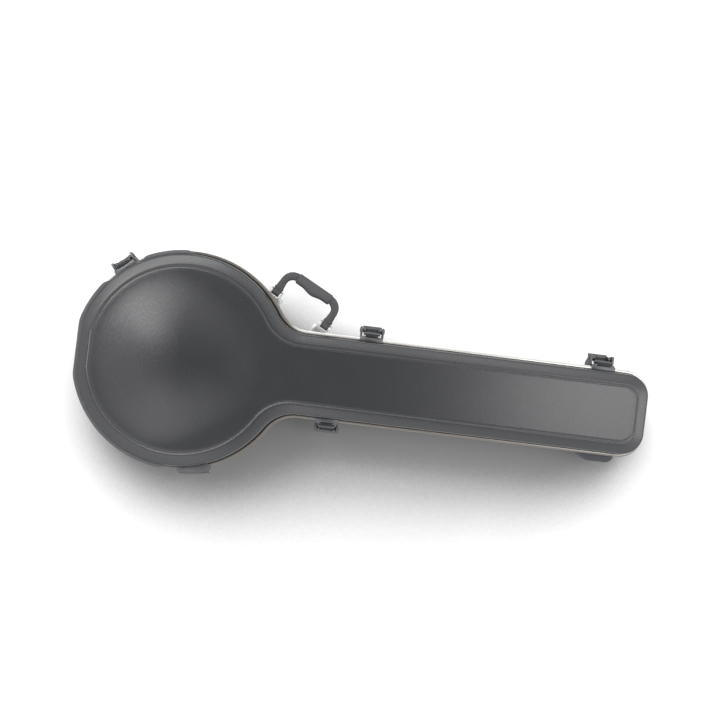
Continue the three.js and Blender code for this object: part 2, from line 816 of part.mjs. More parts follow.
function handleBow(swell) {
  const outer = handleReach + swell;
  const inner = handleReach - handleBar - swell;
  const legOut = handleSpan / 2 + handleBar / 2 + swell;
  const legIn = handleSpan / 2 - handleBar / 2 - swell;
  const bendOut = handleBend + handleBar / 2 + swell;
  const bendIn = handleBend - handleBar / 2 - swell;
  const shape = new THREE.Shape();
  shape.moveTo(0, legIn);
  shape.absarc(inner - bendIn, legIn - bendIn, bendIn, quarterTurn, 0, true);
  shape.absarc(inner - bendIn, bendIn - legIn, bendIn, 0, -quarterTurn, true);
  shape.lineTo(0, -legIn);
  shape.lineTo(0, -legOut);
  shape.absarc(outer - bendOut, bendOut - legOut, bendOut, -quarterTurn, 0);
  shape.absarc(outer - bendOut, legOut - bendOut, bendOut, 0, quarterTurn);
  shape.lineTo(0, legOut);
  return shape;
}

// A flat slab with eased edges, centred on the plane of its shape
function easedSlab(shape, thickness, edge) {
  const geometry = new THREE.ExtrudeGeometry(shape, {
    depth: thickness - edge * 2, bevelThickness: edge, bevelSize: edge, bevelOffset: -edge, bevelSegments: edgeSteps,
    curveSegments: bowSteps,
  });
  return geometry.translate(0, 0, edge - thickness / 2);
}

// The middle between the two eyes: one stands off the body, the other off the throat, a span apart
function handlePivot() {
  const half = neckWidth / 2;
  const throatX = Math.sqrt((bodyRadius + throatRadius) ** 2 - (half + throatRadius) ** 2);
  const seat = new THREE.Vector2(Math.cos(throatSeatAngle), Math.sin(throatSeatAngle));
  const throatEye = seat.multiplyScalar(throatRadius - handleThroatGap).add(new THREE.Vector2(throatX, half + throatRadius));
  const far = throatEye.length();
  const bodyEyeReach = bodyRadius + handleBodyGap;
  const opening = Math.acos((far ** 2 + bodyEyeReach ** 2 - handleSpan ** 2) / (2 * far * bodyEyeReach));
  const turn = throatEye.angle() + opening;
  const bodyEye = new THREE.Vector2(Math.cos(turn), Math.sin(turn)).multiplyScalar(bodyEyeReach);
  const middle = bodyEye.clone().add(throatEye).multiplyScalar(1 / 2);
  return { middle, angle: bodyEye.sub(throatEye).angle() - quarterTurn };
}

function addHandle() {
  const { middle: centre, angle } = handlePivot();
  const boreAlong = handleSpan / 2 + boreReach;
  const place = wallPlace(centre.x, centre.y, angle);
  place.position.z = partingZ - handleDrop;
  place.updateMatrix();
  const bow = easedSlab(handleBow(0), handleThickness, handleEdge);
  const eyes = [-1, 1].map((side) => {
    const middle = (side * handleSpan) / 2;
    return rodAlongY(handleThickness / 2, middle - handleBar / 2, middle + handleBar / 2, 0, 0);
  });
  const bore = rodAlongY(handlePinRadius + pinPlay, -boreAlong, boreAlong, 0, 0);
  addPart(place, 'handle_frame', cut(join(bow, ...eyes), bore), hardwareGrey);

  const gripLow = handleReach - handleBar - gripIn;
  const gripHigh = handleReach + gripOut;
  const gripShape = new THREE.Shape();
  gripShape.moveTo(gripLow + gripIn / 2, -gripLength / 2);
  gripShape.lineTo(gripHigh, -gripLength / 2);
  gripShape.lineTo(gripHigh, gripLength / 2);
  gripShape.lineTo(gripLow + gripIn / 2, gripLength / 2);
  gripShape.quadraticCurveTo(gripLow - gripIn / 2, 0, gripLow + gripIn / 2, -gripLength / 2);
  const grip = easedSlab(gripShape, gripThickness, gripEdge);
  const core = easedSlab(handleBow(clearance), handleThickness + clearance * 2, handleEdge);
  addPart(place, 'handle_grip', cut(grip, core), gripGrey);

  const earHalf = handleBar / 2 + clearance + bracketEar;
  [-1, 1].forEach((side, i) => {
    const middle = (side * handleSpan) / 2;
    const inward = -handleSpan / 2;
    const ears = join(
      block(inward, 0, middle - earHalf, middle + earHalf, -bracketHalfHeight, bracketHalfHeight),
      rodAlongY(bracketHalfHeight, middle - earHalf, middle + earHalf, 0, 0),
      block(
        inward, -bracketSlot, middle - earHalf - bracketFlange, middle + earHalf + bracketFlange,
        -bracketHalfHeight, bracketHalfHeight,
      ),
    );
    const slot = block(
      -bracketSlot, handleReach, middle - handleBar / 2 - clearance, middle + handleBar / 2 + clearance,
      -handleReach, handleReach,
    );
    const bracket = seatOnWall(cut(ears, slot, bore), place);
    addPart(place, `handle_bracket_${i + 1}`, bracket, hardwareGrey);
    const pin = rodAlongY(handlePinRadius, middle - earHalf, middle + earHalf, 0, 0);
    addPart(place, `handle_pin_${i + 1}`, pin, steel);
  });
}

// Feet

function addStandFoot() {
  const place = wallPlace(neckReach - standFootInset, -neckWidth / 2, -quarterTurn);
  const half = standFootWidth / 2;
  const shape = new THREE.Shape();
  shape.moveTo(-seatReach, -half);
  shape.absarc(standFootReach - standFootRound, standFootRound - half, standFootRound, -quarterTurn, 0);
  shape.absarc(standFootReach - standFootRound, half - standFootRound, standFootRound, 0, quarterTurn);
  shape.lineTo(-seatReach, half);
  const top = baseRailBottom - bumperLift - partingZ;
  addPart(place, 'stand_foot', seatOnWall(upright(shape, top - standFootHeight, top), place), footGrey);
}

function addBackFeet() {
  const height = footHeight + panelDrop - clearance;
  const profile = [
    new THREE.Vector2(0, 0),
    new THREE.Vector2(backFootRadius - backFootTaper, 0),
    new THREE.Vector2(backFootRadius, backFootTaper),
    new THREE.Vector2(backFootRadius, height),
    new THREE.Vector2(0, height),
  ];
  const neckX = neckReach - neckFootInset;
  const neckY = neckWidth / 2 - neckFootSideInset;
  const places = [
    ...arc(0, 0, bodyRadius - bodyFootInset, Math.PI / 3, (Math.PI * 5) / 3, 2),
    new THREE.Vector2(neckX, neckY),
    new THREE.Vector2(neckX, -neckY),
  ];
  places.forEach((point, i) => {
    const foot = addPart(
      banjoCase, `back_foot_${i + 1}`, new THREE.LatheGeometry(profile, roundSteps).rotateX(quarterTurn), footGrey,
    );
    foot.position.set(point.x, point.y, 0);
  });
}

// Inside

function addLiners() {
  const bayInset = shellInset + linerWall;
  const top = baseRailTop - linerTopDrop;
  const floor = footHeight + rimRise;
  const filling = loft([
    ...innerRim(baseDraft, floor, panelDrop + shellWall - rimRise + clearance, clearance),
    wallLevel(shellInset + clearance, top),
  ]);
  const bay = loft([wallLevel(bayInset, neckBayFloor), wallLevel(bayInset, top + overrun)]);
  const deepBay = loft([wallLevel(bayInset, bodyBayFloor), wallLevel(bayInset, neckBayFloor + overrun)]);
  const disc = new THREE.CylinderGeometry(
    bodyRadius - bayInset, bodyRadius - bayInset, lidTopZ * 2, bodySteps * 2,
  ).rotateX(quarterTurn);
  const pegEnd = neckReach - bayInset;
  const pegBay = upright(
    roundedRectangle(pegEnd - pegheadBayLength, pegEnd, neckWidth / 2 - pegheadBaySideWall, bayCorner), neckBayFloor, top + overrun,
  );
  const accessoryEnd = accessoryBayPlace + accessoryBayLength;
  const accessoryBay = upright(
    roundedRectangle(accessoryBayPlace, accessoryEnd, accessoryBayHalf, bayCorner), accessoryBayFloor,
    top + overrun,
  );
  addPart(banjoCase, 'base_liner', cut(filling, bay, common(deepBay, disc), pegBay, accessoryBay), plush);

  const lidTop = lidCeilingZ - clearance;
  const pad = loft([
    panelLevel(0, lidTop - lidLinerThickness),
    panelLevel(0, lidTop),
  ]);
  const crown = domeSolid(lidTop, lidTop - lidLinerThickness / 2);
  const hollow = domeSolid(lidTop - lidLinerThickness, lidTop - lidLinerThickness - overrun);
  addPart(banjoCase, 'lid_liner', cut(join(pad, crown), hollow), plush);
}

function addAccessoryBox() {
  const lowX = accessoryBayPlace + clearance;
  const highX = accessoryBayPlace + accessoryBayLength - clearance;
  const half = accessoryBayHalf - clearance;
  const lowZ = accessoryBayFloor + clearance;
  const highZ = neckBayFloor;
  const tray = upright(roundedRectangle(lowX, highX, half, bayCorner), lowZ, highZ);
  const room = block(
    lowX + accessoryWall, highX - accessoryWall, accessoryWall - half, half - accessoryWall,
    lowZ + accessoryWall, highZ + overrun,
  );
  addPart(banjoCase, 'accessory_box', cut(tray, room), plush);
  const pivotX = lowX + accessoryLidThickness / 2 + clearance;
  const pivotZ = highZ + clearance + accessoryLidThickness / 2;
  const lidHalf = half - bayCorner;
  const lid = join(
    block(
      pivotX, highX - clearance, -lidHalf, lidHalf,
      pivotZ - accessoryLidThickness / 2, pivotZ + accessoryLidThickness / 2,
    ),
    rodAlongY(accessoryLidThickness / 2, -lidHalf, lidHalf, pivotX, pivotZ),
  );
  addPart(banjoCase, 'accessory_lid', lid, plush);
}

function addNeckRest() {
  const half = neckWidth / 2 - shellInset - linerWall - clearance;
  const lowZ = neckBayFloor + clearance;
  const highZ = lowZ + neckRestHeight;
  const end = neckRestPlace + neckRestLength;
  const trough = rodAlongX(
    neckRestTroughRadius, neckRestPlace - overrun, end + overrun, 0,
    highZ + neckRestTroughRadius - neckRestTroughDepth,
  );
  addPart(banjoCase, 'neck_rest', cut(block(neckRestPlace, end, -half, half, lowZ, highZ), trough), plush);
}

addShells();
addRails();
addBumpers();
addLatches();
addHinge();
addHandle();
addStandFoot();
addBackFeet();
addLiners();
addAccessoryBox();
addNeckRest();

// Stands the case on its origin, under the middle of its box
banjoCase.updateMatrixWorld(true);
const bounds = new THREE.Box3().setFromObject(banjoCase, true);
const middle = bounds.getCenter(new THREE.Vector3());
banjoCase.position.set(-middle.x, -middle.y, -bounds.min.z);
banjoCase.updateMatrixWorld(true);

export default banjoCase;
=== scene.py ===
from math import atan2, cos, hypot, pi, radians, sin, sqrt

import bmesh
import bpy
from bmesh.types import BMEdge, BMVert
from mathutils import Matrix, Vector


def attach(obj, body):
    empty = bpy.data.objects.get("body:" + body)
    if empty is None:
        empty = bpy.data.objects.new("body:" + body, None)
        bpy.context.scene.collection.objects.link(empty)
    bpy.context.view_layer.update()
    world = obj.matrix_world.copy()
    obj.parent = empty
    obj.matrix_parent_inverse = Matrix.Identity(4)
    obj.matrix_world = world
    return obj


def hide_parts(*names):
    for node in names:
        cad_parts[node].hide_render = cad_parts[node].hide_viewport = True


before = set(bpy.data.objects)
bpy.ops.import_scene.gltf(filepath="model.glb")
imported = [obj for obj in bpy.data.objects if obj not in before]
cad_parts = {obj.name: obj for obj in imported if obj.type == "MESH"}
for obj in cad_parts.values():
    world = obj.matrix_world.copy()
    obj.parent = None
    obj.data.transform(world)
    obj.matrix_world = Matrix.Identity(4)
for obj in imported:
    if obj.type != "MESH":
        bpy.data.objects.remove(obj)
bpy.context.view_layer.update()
print("frame loaded:", len(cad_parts), "nodes")

# The case lies on its back: x runs along the neck, y to the handle side, z up through the lid.
# Metres all through. The outlines are drawn about the centre of the round body. "wall" is the line
# that the rails follow, and the moulded walls stand in from it by "wallSet".
caseShape = {
    "centre": (-0.3415, 0.004304),
    "parting": 0.100,
    "wallSet": 0.0045,
    "lip": 0.005,  # the moulding's thickness at the rail
    "railSeat": 0.001,  # how far the rail's tongue stands into it
    "ease": 0.0003,
    "wall": {"radius": 0.205, "tail": 0.1985, "half": 0.08075, "reach": 0.8815, "corner": 0.046,
             "throat": 0.066, "tailCorner": 0.060},
    "panel": {"radius": 0.1735, "tail": 0.1705, "half": 0.05175, "reach": 0.853, "corner": 0.024,
              "throat": 0.082, "tailCorner": 0.0285},
    "steps": {"end": 5, "corner": 12, "side": 40, "throat": 18, "body": 84, "tailCorner": 10, "tail": 8},
}


def smoothStep(share):
    share = min(1, max(0, share))
    return share * share * (3 - 2 * share)


def linePoints(start, end, steps):  # leaves out the last point
    return [(start[0] + (end[0] - start[0]) * i / steps, start[1] + (end[1] - start[1]) * i / steps)
            for i in range(steps)]


def arcPoints(middle, radius, start, end, steps):  # leaves out the last point
    turns = [start + (end - start) * i / steps for i in range(steps)]
    return [(middle[0] + radius * cos(turn), middle[1] + radius * sin(turn)) for turn in turns]


def outline(name, inset=0.0):
    shape, steps = caseShape[name], caseShape["steps"]
    radius, tail, half, reach, corner, tailCorner = (
        shape[key] - inset for key in ("radius", "tail", "half", "reach", "corner", "tailCorner"))
    throat = shape["throat"] + inset
    throatX = sqrt((radius + throat) ** 2 - (half + throat) ** 2)
    throatTurn = atan2(half + throat, throatX)
    tailX = tail - tailCorner
    tailY = sqrt((radius - tailCorner) ** 2 - tailX ** 2)
    tailTurn = pi - atan2(tailY, tailX)
    upper = [
        *linePoints((reach, 0), (reach, half - corner), steps["end"]),
        *arcPoints((reach - corner, half - corner), corner, 0, pi / 2, steps["corner"]),
        *linePoints((reach - corner, half), (throatX, half), steps["side"]),
        *arcPoints((throatX, half + throat), throat, -pi / 2, throatTurn - pi, steps["throat"]),
        *arcPoints((0, 0), radius, throatTurn, tailTurn, steps["body"]),
        *arcPoints((-tailX, tailY), tailCorner, tailTurn, pi, steps["tailCorner"]),
        *linePoints((-tail, tailY), (-tail, 0), steps["tail"]),
    ]
    return upper + [(-tail, 0)] + [(x, -y) for x, y in reversed(upper[1:])]


def ringAt(points, height):
    x0, y0 = caseShape["centre"]
    heights = height if isinstance(height, list) else [height] * len(points)
    return [Vector((x + x0, y + y0, z)) for (x, y), z in zip(points, heights)]


def blendPoints(first, second, share):
    return [(a[0] + (b[0] - a[0]) * share, a[1] + (b[1] - a[1]) * share) for a, b in zip(first, second)]


# Draws the first ring, then extrudes it from ring to ring
def loftRings(bm, rings):
    row = [bm.verts.new(point) for point in rings[0]]
    edges = [bm.edges.new(pair) for pair in zip(row, row[1:] + row[:1])]
    for ring in rings[1:]:
        made = bmesh.ops.extrude_edge_only(bm, edges=edges)["geom"]
        fresh = {part for part in made if isinstance(part, BMVert)}
        edges = [part for part in made if isinstance(part, BMEdge) and set(part.verts) <= fresh]
        following = []
        for vertex, point in zip(row, ring):
            partner = next(edge.other_vert(vertex) for edge in vertex.link_edges
                           if edge.other_vert(vertex) in fresh)
            partner.co = point
            following.append(partner)
        row = following


weld = 0.00001


def closeSkin(bm):
    bmesh.ops.remove_doubles(bm, verts=bm.verts, dist=weld)
    bmesh.ops.recalc_face_normals(bm, faces=bm.faces)


def closeEnds(bm):
    bmesh.ops.holes_fill(bm, edges=[edge for edge in bm.edges if edge.is_boundary], sides=0)
    closeSkin(bm)


def easeEdges(bm, width, segments=2, sharper=35):
    edges = [edge for edge in bm.edges if edge.is_manifold and edge.calc_face_angle() > radians(sharper)]
    bmesh.ops.bevel(bm, geom=edges, offset=width, offset_type="OFFSET", segments=segments, profile=0.5,
                    affect="EDGES", material=-1, clamp_overlap=True)


materials = {}


def finishPiece(bm, name, body, finish, replaces=(), smooth=38):
    mesh = bpy.data.meshes.new(name)
    bm.to_mesh(mesh)
    bm.free()
    mesh.materials.append(materials[finish])
    mesh.polygons.foreach_set("use_smooth", [True] * len(mesh.polygons))
    mesh.set_sharp_from_angle(angle=radians(smooth))
    piece = bpy.data.objects.new(name, mesh)
    bpy.context.scene.collection.objects.link(piece)
    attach(piece, body)
    if replaces:
        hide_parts(*replaces)
    return piece


# Materials: two close colours mottled together, and a grain that sets the roughness and a slight bump

noiseDetail = {"mottle": 5, "grain": 3}
finishes = {
    "shell": {"colour": (0.020, 0.021, 0.024), "other": (0.027, 0.028, 0.031), "mottle": 26, "metallic": 0,
              "roughness": 0.285, "spread": 0.05, "specular": 0.9, "grain": 620, "depth": 0.00012,
              "strength": 0.45},
    "bumper": {"colour": (0.085, 0.088, 0.095), "other": (0.105, 0.108, 0.115), "mottle": 40, "metallic": 0,
               "roughness": 0.5, "spread": 0.08, "grain": 800, "depth": 0.00008, "strength": 0.35},
    "latch": {"colour": (0.125, 0.128, 0.135), "other": (0.165, 0.168, 0.172), "mottle": 60, "metallic": 1,
              "roughness": 0.4, "spread": 0.1, "grain": 900, "depth": 0.00004, "strength": 0.25},
    "hinge": {"slot": "latch", "colour": (0.13, 0.13, 0.135), "other": (0.17, 0.17, 0.175), "mottle": 60,
              "metallic": 1, "roughness": 0.45, "spread": 0.1, "grain": 900, "depth": 0.00004,
              "strength": 0.25},
    # near-black hook: painted shade, so that the latch's slot reads as a dark gap
    "hook": {"slot": "latch", "colour": (0.008, 0.008, 0.009), "other": (0.012, 0.012, 0.013), "mottle": 60,
             "metallic": 0, "roughness": 0.45, "spread": 0.1, "grain": 900, "depth": 0.00004,
             "strength": 0.25},
    "handle": {"colour": (0.056, 0.057, 0.061), "other": (0.068, 0.069, 0.073), "mottle": 50, "metallic": 0,
               "roughness": 0.5, "spread": 0.08, "grain": 1000, "depth": 0.00008, "strength": 0.35},
    "grip": {"colour": (0.068, 0.069, 0.073), "other": (0.082, 0.083, 0.087), "mottle": 50, "metallic": 0,
             "roughness": 0.62, "spread": 0.08, "grain": 1100, "depth": 0.0001, "strength": 0.4},
    "foot": {"colour": (0.060, 0.066, 0.076), "other": (0.074, 0.080, 0.090), "mottle": 50, "metallic": 0,
             "roughness": 0.6, "spread": 0.08, "grain": 900, "depth": 0.00008, "strength": 0.35},
    "steel": {"colour": (0.6, 0.6, 0.6), "other": (0.68, 0.68, 0.67), "mottle": 80, "metallic": 1,
              "roughness": 0.28, "spread": 0.1, "grain": 1500, "depth": 0.00002, "strength": 0.2},
    "rail": {"colour": (0.86, 0.85, 0.82), "other": (0.92, 0.91, 0.88), "mottle": 12, "metallic": 1,
             "roughness": 0.34, "spread": 0.1, "grain": 1, "depth": 0.00003, "strength": 0.25,
             # painted shade that darkens the rail round the body and along the hinge side
             "stretch": (4, 4, 1300), "paintedShade": {
                 "colour": (0.25, 0.23, 0.21), "bodyReach": (0.2075, 0.2300), "farSide": (-0.066, -0.050),
                 "farShare": 0.08}},
    "plush": {"colour": (0.022, 0.026, 0.040), "other": (0.040, 0.046, 0.064), "mottle": 45, "metallic": 0,
              "roughness": 0.95, "spread": 0.04, "grain": 1400, "depth": 0.0006, "strength": 0.8,
              "sheen": {"Sheen Weight": 0.7, "Sheen Roughness": 0.45, "Sheen Tint": (0.35, 0.4, 0.55, 1)}},
}


def addRange(nodes, low, high, start="From"):
    ramp = nodes.new("ShaderNodeMapRange")
    ramp.inputs[start + " Min"].default_value = low
    ramp.inputs[start + " Max"].default_value = high
    return ramp


def addMix(nodes, first, second):
    mix = nodes.new("ShaderNodeMix")
    mix.data_type = "RGBA"
    mix.inputs["A"].default_value = (*first, 1)
    mix.inputs["B"].default_value = (*second, 1)
    return mix


def addProduct(nodes, links, first, second):
    product = nodes.new("ShaderNodeMath")
    product.operation = "MULTIPLY"
    links.new(first, product.inputs[0])
    links.new(second, product.inputs[1])
    return product.outputs["Value"]


# Paints shade into the tint: darker brown-grey round the body and along the hinge side, standing in for the
# shade and dark reflections the rail has there
def addPaintedShade(nodes, links, where, tint, spec):
    reach = nodes.new("ShaderNodeVectorMath")
    reach.operation = "DISTANCE"
    reach.inputs[1].default_value = (*caseShape["centre"], caseShape["parting"])
    links.new(where.outputs["Object"], reach.inputs[0])
    away = addRange(nodes, *spec["bodyReach"])
    away.interpolation_type = "SMOOTHSTEP"
    links.new(reach.outputs["Value"], away.inputs["Value"])
    split = nodes.new("ShaderNodeSeparateXYZ")
    links.new(where.outputs["Object"], split.inputs[0])
    side = addRange(nodes, *spec["farSide"])
    side.inputs["To Min"].default_value = spec["farShare"]
    links.new(split.outputs["Y"], side.inputs["Value"])
    bright = addProduct(nodes, links, away.outputs["Result"], side.outputs["Result"])
    shadedTint = addMix(nodes, spec["colour"], spec["colour"])
    links.new(bright, shadedTint.inputs["Factor"])
    links.new(tint.outputs["Result"], shadedTint.inputs["B"])
    return shadedTint


def makeFinish(name, spec):
    finish = bpy.data.materials.new(name)
    finish.use_nodes = True
    nodes, links = finish.node_tree.nodes, finish.node_tree.links
    shader = nodes["Principled BSDF"]
    shader.inputs["Metallic"].default_value = spec["metallic"]
    shader.inputs["Specular IOR Level"].default_value = spec.get("specular", 0.5)
    where = nodes.new("ShaderNodeTexCoord")
    turn = nodes.new("ShaderNodeMapping")
    links.new(where.outputs["Object"], turn.inputs["Vector"])
    if "stretch" in spec:  # the extrusion's lines run round the case
        turn.inputs["Scale"].default_value = spec["stretch"]

    mottle = nodes.new("ShaderNodeTexNoise")
    mottle.inputs["Scale"].default_value = spec["mottle"]
    mottle.inputs["Detail"].default_value = noiseDetail["mottle"]
    links.new(where.outputs["Object"], mottle.inputs["Vector"])
    tint = addMix(nodes, spec["colour"], spec["other"])
    links.new(mottle.outputs["Fac"], tint.inputs["Factor"])
    # painted shade on the rail, round the body and along the hinge side
    if "paintedShade" in spec:
        tint = addPaintedShade(nodes, links, where, tint, spec["paintedShade"])
    links.new(tint.outputs["Result"], shader.inputs["Base Color"])

    grain = nodes.new("ShaderNodeTexNoise")
    grain.inputs["Scale"].default_value = spec["grain"]
    grain.inputs["Detail"].default_value = noiseDetail["grain"]
    links.new(turn.outputs["Vector"], grain.inputs["Vector"])
    shine = addRange(nodes, spec["roughness"] - spec["spread"], spec["roughness"] + spec["spread"], "To")
    links.new(grain.outputs["Fac"], shine.inputs["Value"])
    links.new(shine.outputs["Result"], shader.inputs["Roughness"])
    bump = nodes.new("ShaderNodeBump")
    bump.inputs["Strength"].default_value = spec["strength"]
    bump.inputs["Distance"].default_value = spec["depth"]
    links.new(grain.outputs["Fac"], bump.inputs["Height"])
    links.new(bump.outputs["Normal"], shader.inputs["Normal"])
    for socket, value in spec.get("sheen", {}).items():
        shader.inputs[socket].default_value = value
    return finish


for finishName, finishSpec in finishes.items():
    materials[finishName] = makeFinish(finishName, finishSpec)
print("finishes made:", len(materials))

# Shells

lidShell = {"edge": 0.1045, "railTop": 0.1155, "draft": 0.0008, "rimFoot": 0.132, "crest": 0.146,
            "valley": 0.1446, "panel": 0.1450, "wall": 0.004, "rise": 0.0155, "rimSteps": 14,
            "panelSteps": 30}
baseShell = {"edge": 0.0975, "railTop": 0.0845, "draft": 0.004, "rimFoot": 0.022, "crest": 0.008,
             "valley": 0.0100, "panel": 0.0090, "wall": 0.004, "rise": 0, "rimSteps": 10, "panelSteps": 8}
dome = {"radius": 0.1711, "tail": 0.1681, "flank": radians(56), "flankReach": 0.150, "ridge": 0.012,
        "fullness": 1.75, "blend": 8}
rim = {"crestShare": 0.84, "crestExtra": 0.002, "crowding": 1.6, "shoulderShare": 0.18, "shoulderRise": 0.67,
       "slopeRise": 0.33, "sag": 0.12, "bevel": 0.0024, "bevelSteps": 3,
       # from the crest to the panel's edge: how far along, and how far down
       "fallShares": ((0.10, 0.04), (0.25, 0.25), (0.60, 0.80), (0.75, 0.97), (0.85, 1), (1, 1))}
spine = {"start": 0.10, "run": 0.20, "end": 0.800}


# A round dome that narrows to a point where the neck begins
def domeHeight(x, y, rise):
    reach = dome["tail"] if x < 0 else dome["radius"]
    share = hypot(x / reach, y / dome["radius"])
    side = (x * cos(dome["flank"]) + hypot(y, dome["ridge"]) * sin(dome["flank"])) / dome["flankReach"]
    share = (share ** dome["blend"] + max(0, side) ** dome["blend"]) ** (1 / dome["blend"])
    return rise * max(0, 1 - share ** 2) ** dome["fullness"]


# Where a point of the panel's edge heads for: the body's centre, or the neck's middle line
def spinePoint(x):
    return (min(x, spine["end"]) * smoothStep((x - spine["start"]) / spine["run"]), 0)


# The rim's section: a round shoulder on the wall, then a band that slopes up to the panel
def rimHeight(share):
    shoulder = sqrt(1 - (1 - min(1, share / rim["shoulderShare"])) ** 2)
    slope = (share - rim["sag"] * share ** 4) / (1 - rim["sag"])
    return rim["shoulderRise"] * shoulder + rim["slopeRise"] * slope


def shellRings(spec, sign, inner):
    drop = spec["wall"] * sign if inner else 0
    inset, lip, seat, ease = (caseShape[key] for key in ("wallSet", "lip", "railSeat", "ease"))
    wall = outline("wall", inset + spec["draft"] + (lip if inner else 0))
    panel = outline("panel")
    if inner:
        rings = [ringAt(outline("wall", inset + lip), spec["edge"])]
    else:
        rings = [ringAt(outline("wall", inset + step), height) for step, height in (
            (lip, spec["edge"]), (seat, spec["edge"]), (seat, spec["railTop"]), (ease, spec["railTop"]),
            (0, spec["railTop"] + sign * ease), (spec["draft"] / 2, (spec["railTop"] + spec["rimFoot"]) / 2))]
    rise = (spec["crest"] - spec["rimFoot"]) - (drop + sign * rim["crestExtra"] if inner else 0)
    for i in range(spec["rimSteps"] + 1):
        share = (i / spec["rimSteps"]) ** rim["crowding"]
        points = blendPoints(wall, panel, rim["crestShare"] * share)
        rings.append(ringAt(points, spec["rimFoot"] + rise * rimHeight(share)))
    crest = spec["rimFoot"] + rise
    foot = min if sign > 0 else max
    for share, fall in rim["fallShares"]:
        points = blendPoints(wall, panel, rim["crestShare"] + (1 - rim["crestShare"]) * share)
        rings.append(ringAt(points, foot(crest, crest + (spec["valley"] - drop - crest) * fall)))
    step = spec["panel"] - spec["valley"]
    for i in range(1, rim["bevelSteps"] + 1):
        points = outline("panel", rim["bevel"] * i / rim["bevelSteps"])
        rings.append(ringAt(points, spec["valley"] - drop + step * smoothStep(i / rim["bevelSteps"])))
    edge = outline("panel", rim["bevel"])
    middle = [spinePoint(x) for x, y in edge]
    for i in range(1, spec["panelSteps"] + 1):
        points = blendPoints(edge, middle, i / spec["panelSteps"])
        heights = [spec["panel"] - drop + domeHeight(x, y, spec["rise"]) for x, y in points]
        rings.append(ringAt(points, heights))
    return rings


def makeShell(name, node, body, spec, sign):
    bm = bmesh.new()
    loftRings(bm, shellRings(spec, sign, False))
    loftRings(bm, shellRings(spec, sign, True))
    closeSkin(bm)
    finishPiece(bm, name, body, "shell", [node], smooth=50)


makeShell("lidMoulding", "lid_shell", "lid", lidShell, 1)
makeShell("baseMoulding", "base_shell", "base", baseShell, -1)
print("shells moulded")

# Rails: each section is a list of insets and heights, swept round the wall

rails = {
    "lidRail": {"node": "lid_rail", "body": "lid", "ease": 0.0005, "section": [
        (-0.001, 0.1134), (-0.001, 0.1002), (0.0014, 0.1002), (0.0014, 0.1023), (0.0041, 0.1023),
        (0.0041, 0.1002), (0.0098, 0.1002), (0.0098, 0.1042), (0.0052, 0.1042), (0.0052, 0.1138),
        (0.0040, 0.1138), (0.0034, 0.1152), (0.0012, 0.1152)]},
    "baseRail": {"node": "base_rail", "body": "base", "ease": 0.0006, "section": [
        (-0.0025, 0.0848), (-0.0025, 0.0998), (0.002, 0.0998), (0.002, 0.1013), (0.0035, 0.1013),
        (0.0035, 0.0998), (0.0098, 0.0998), (0.0098, 0.0978), (0.0052, 0.0978), (0.0052, 0.0848)]},
}


def makeRail(name, spec):
    bm = bmesh.new()
    rings = [ringAt(outline("wall", inset), height) for inset, height in spec["section"]]
    loftRings(bm, rings + rings[:1])
    closeSkin(bm)
    easeEdges(bm, spec["ease"], sharper=60)
    finishPiece(bm, name, spec["body"], "rail", [spec["node"]])


for railName, railSpec in rails.items():
    makeRail(railName, railSpec)
print("rails swept")

# Bumper strips round the tail half, with slanted ends and a gap at the body's latch

lockTurn = radians(129)
bumpers = {
    "start": radians(89), "end": radians(269), "gap": radians(9.5),
    "taper": 0.016, "proud": 0.001, "lipShare": 0.25,
    "strips": {
        "lidBumper": {"body": "lid", "node": "lid_bumper", "low": 0.1182, "high": 0.1352,
                      "wallLow": 0.0047, "wallHigh": 0.0054},
        "baseBumper": {"body": "base", "node": "base_bumper", "low": 0.0558, "high": 0.0818,
                       "wallLow": 0.0063, "wallHigh": 0.0047},
    },
    # how far out each corner of the section stands, and how far up it
    "sectionShares": ((0, 0), (0.3, 0), (0.8, 0.03), (1, 0.1), (1, 0.42), (0.72, 0.46), (0.72, 0.54),
                      (1, 0.58), (1, 0.9), (0.8, 0.97), (0.3, 1), (0, 1)),
}


def makeBumper(name, spec, start, end, node):
    outer = outline("wall", -bumpers["proud"])
    turns = [atan2(y, x) % (2 * pi) for x, y in outer]
    stations = [i for i, turn in enumerate(turns) if start <= turn <= end]
    inner = {True: outline("wall", spec["wallHigh"]), False: outline("wall", spec["wallLow"])}
    x0, y0 = caseShape["centre"]
    rings = []
    for i in stations:
        fromEnd = min(turns[i] - start, end - turns[i]) * caseShape["wall"]["radius"]
        share = bumpers["lipShare"] + (1 - bumpers["lipShare"]) * smoothStep(fromEnd / bumpers["taper"])
        ring = []
        for out, up in bumpers["sectionShares"]:
            foot, tip = inner[up > 0.5][i], outer[i]
            x, y = (a + (b - a) * out * share for a, b in zip(foot, tip))
            ring.append(Vector((x + x0, y + y0, spec["low"] + (spec["high"] - spec["low"]) * up)))
        rings.append(ring)
    bm = bmesh.new()
    loftRings(bm, rings)
    closeEnds(bm)
    finishPiece(bm, name, spec["body"], "bumper", [node], smooth=50)


for bumperName, bumperSpec in bumpers["strips"].items():
    makeBumper(bumperName + "Short", bumperSpec, bumpers["start"], lockTurn - bumpers["gap"],
               bumperSpec["node"] + "_short")
    makeBumper(bumperName + "Tail", bumperSpec, lockTurn + bumpers["gap"], bumpers["end"],
               bumperSpec["node"] + "_tail")
print("bumpers fitted")

# Small shapes that several pieces share


def addRod(bm, start, end, radius, segments=28, ease=0.0003):
    turn = (end - start).to_track_quat("Z", "Y").to_matrix().to_4x4()
    place = Matrix.Translation((start + end) / 2) @ turn
    made = bmesh.ops.create_cone(bm, cap_ends=True, segments=segments, radius1=radius, radius2=radius,
                                 depth=(end - start).length, matrix=place)["verts"]
    rims = {edge for vertex in made for edge in vertex.link_edges if edge.calc_face_angle(0) > radians(60)}
    bmesh.ops.bevel(bm, geom=list(rims), offset=ease, segments=2, profile=0.5, affect="EDGES", material=-1)


domeFoot = -0.3  # of its radius: where a rivet's ball is cut off


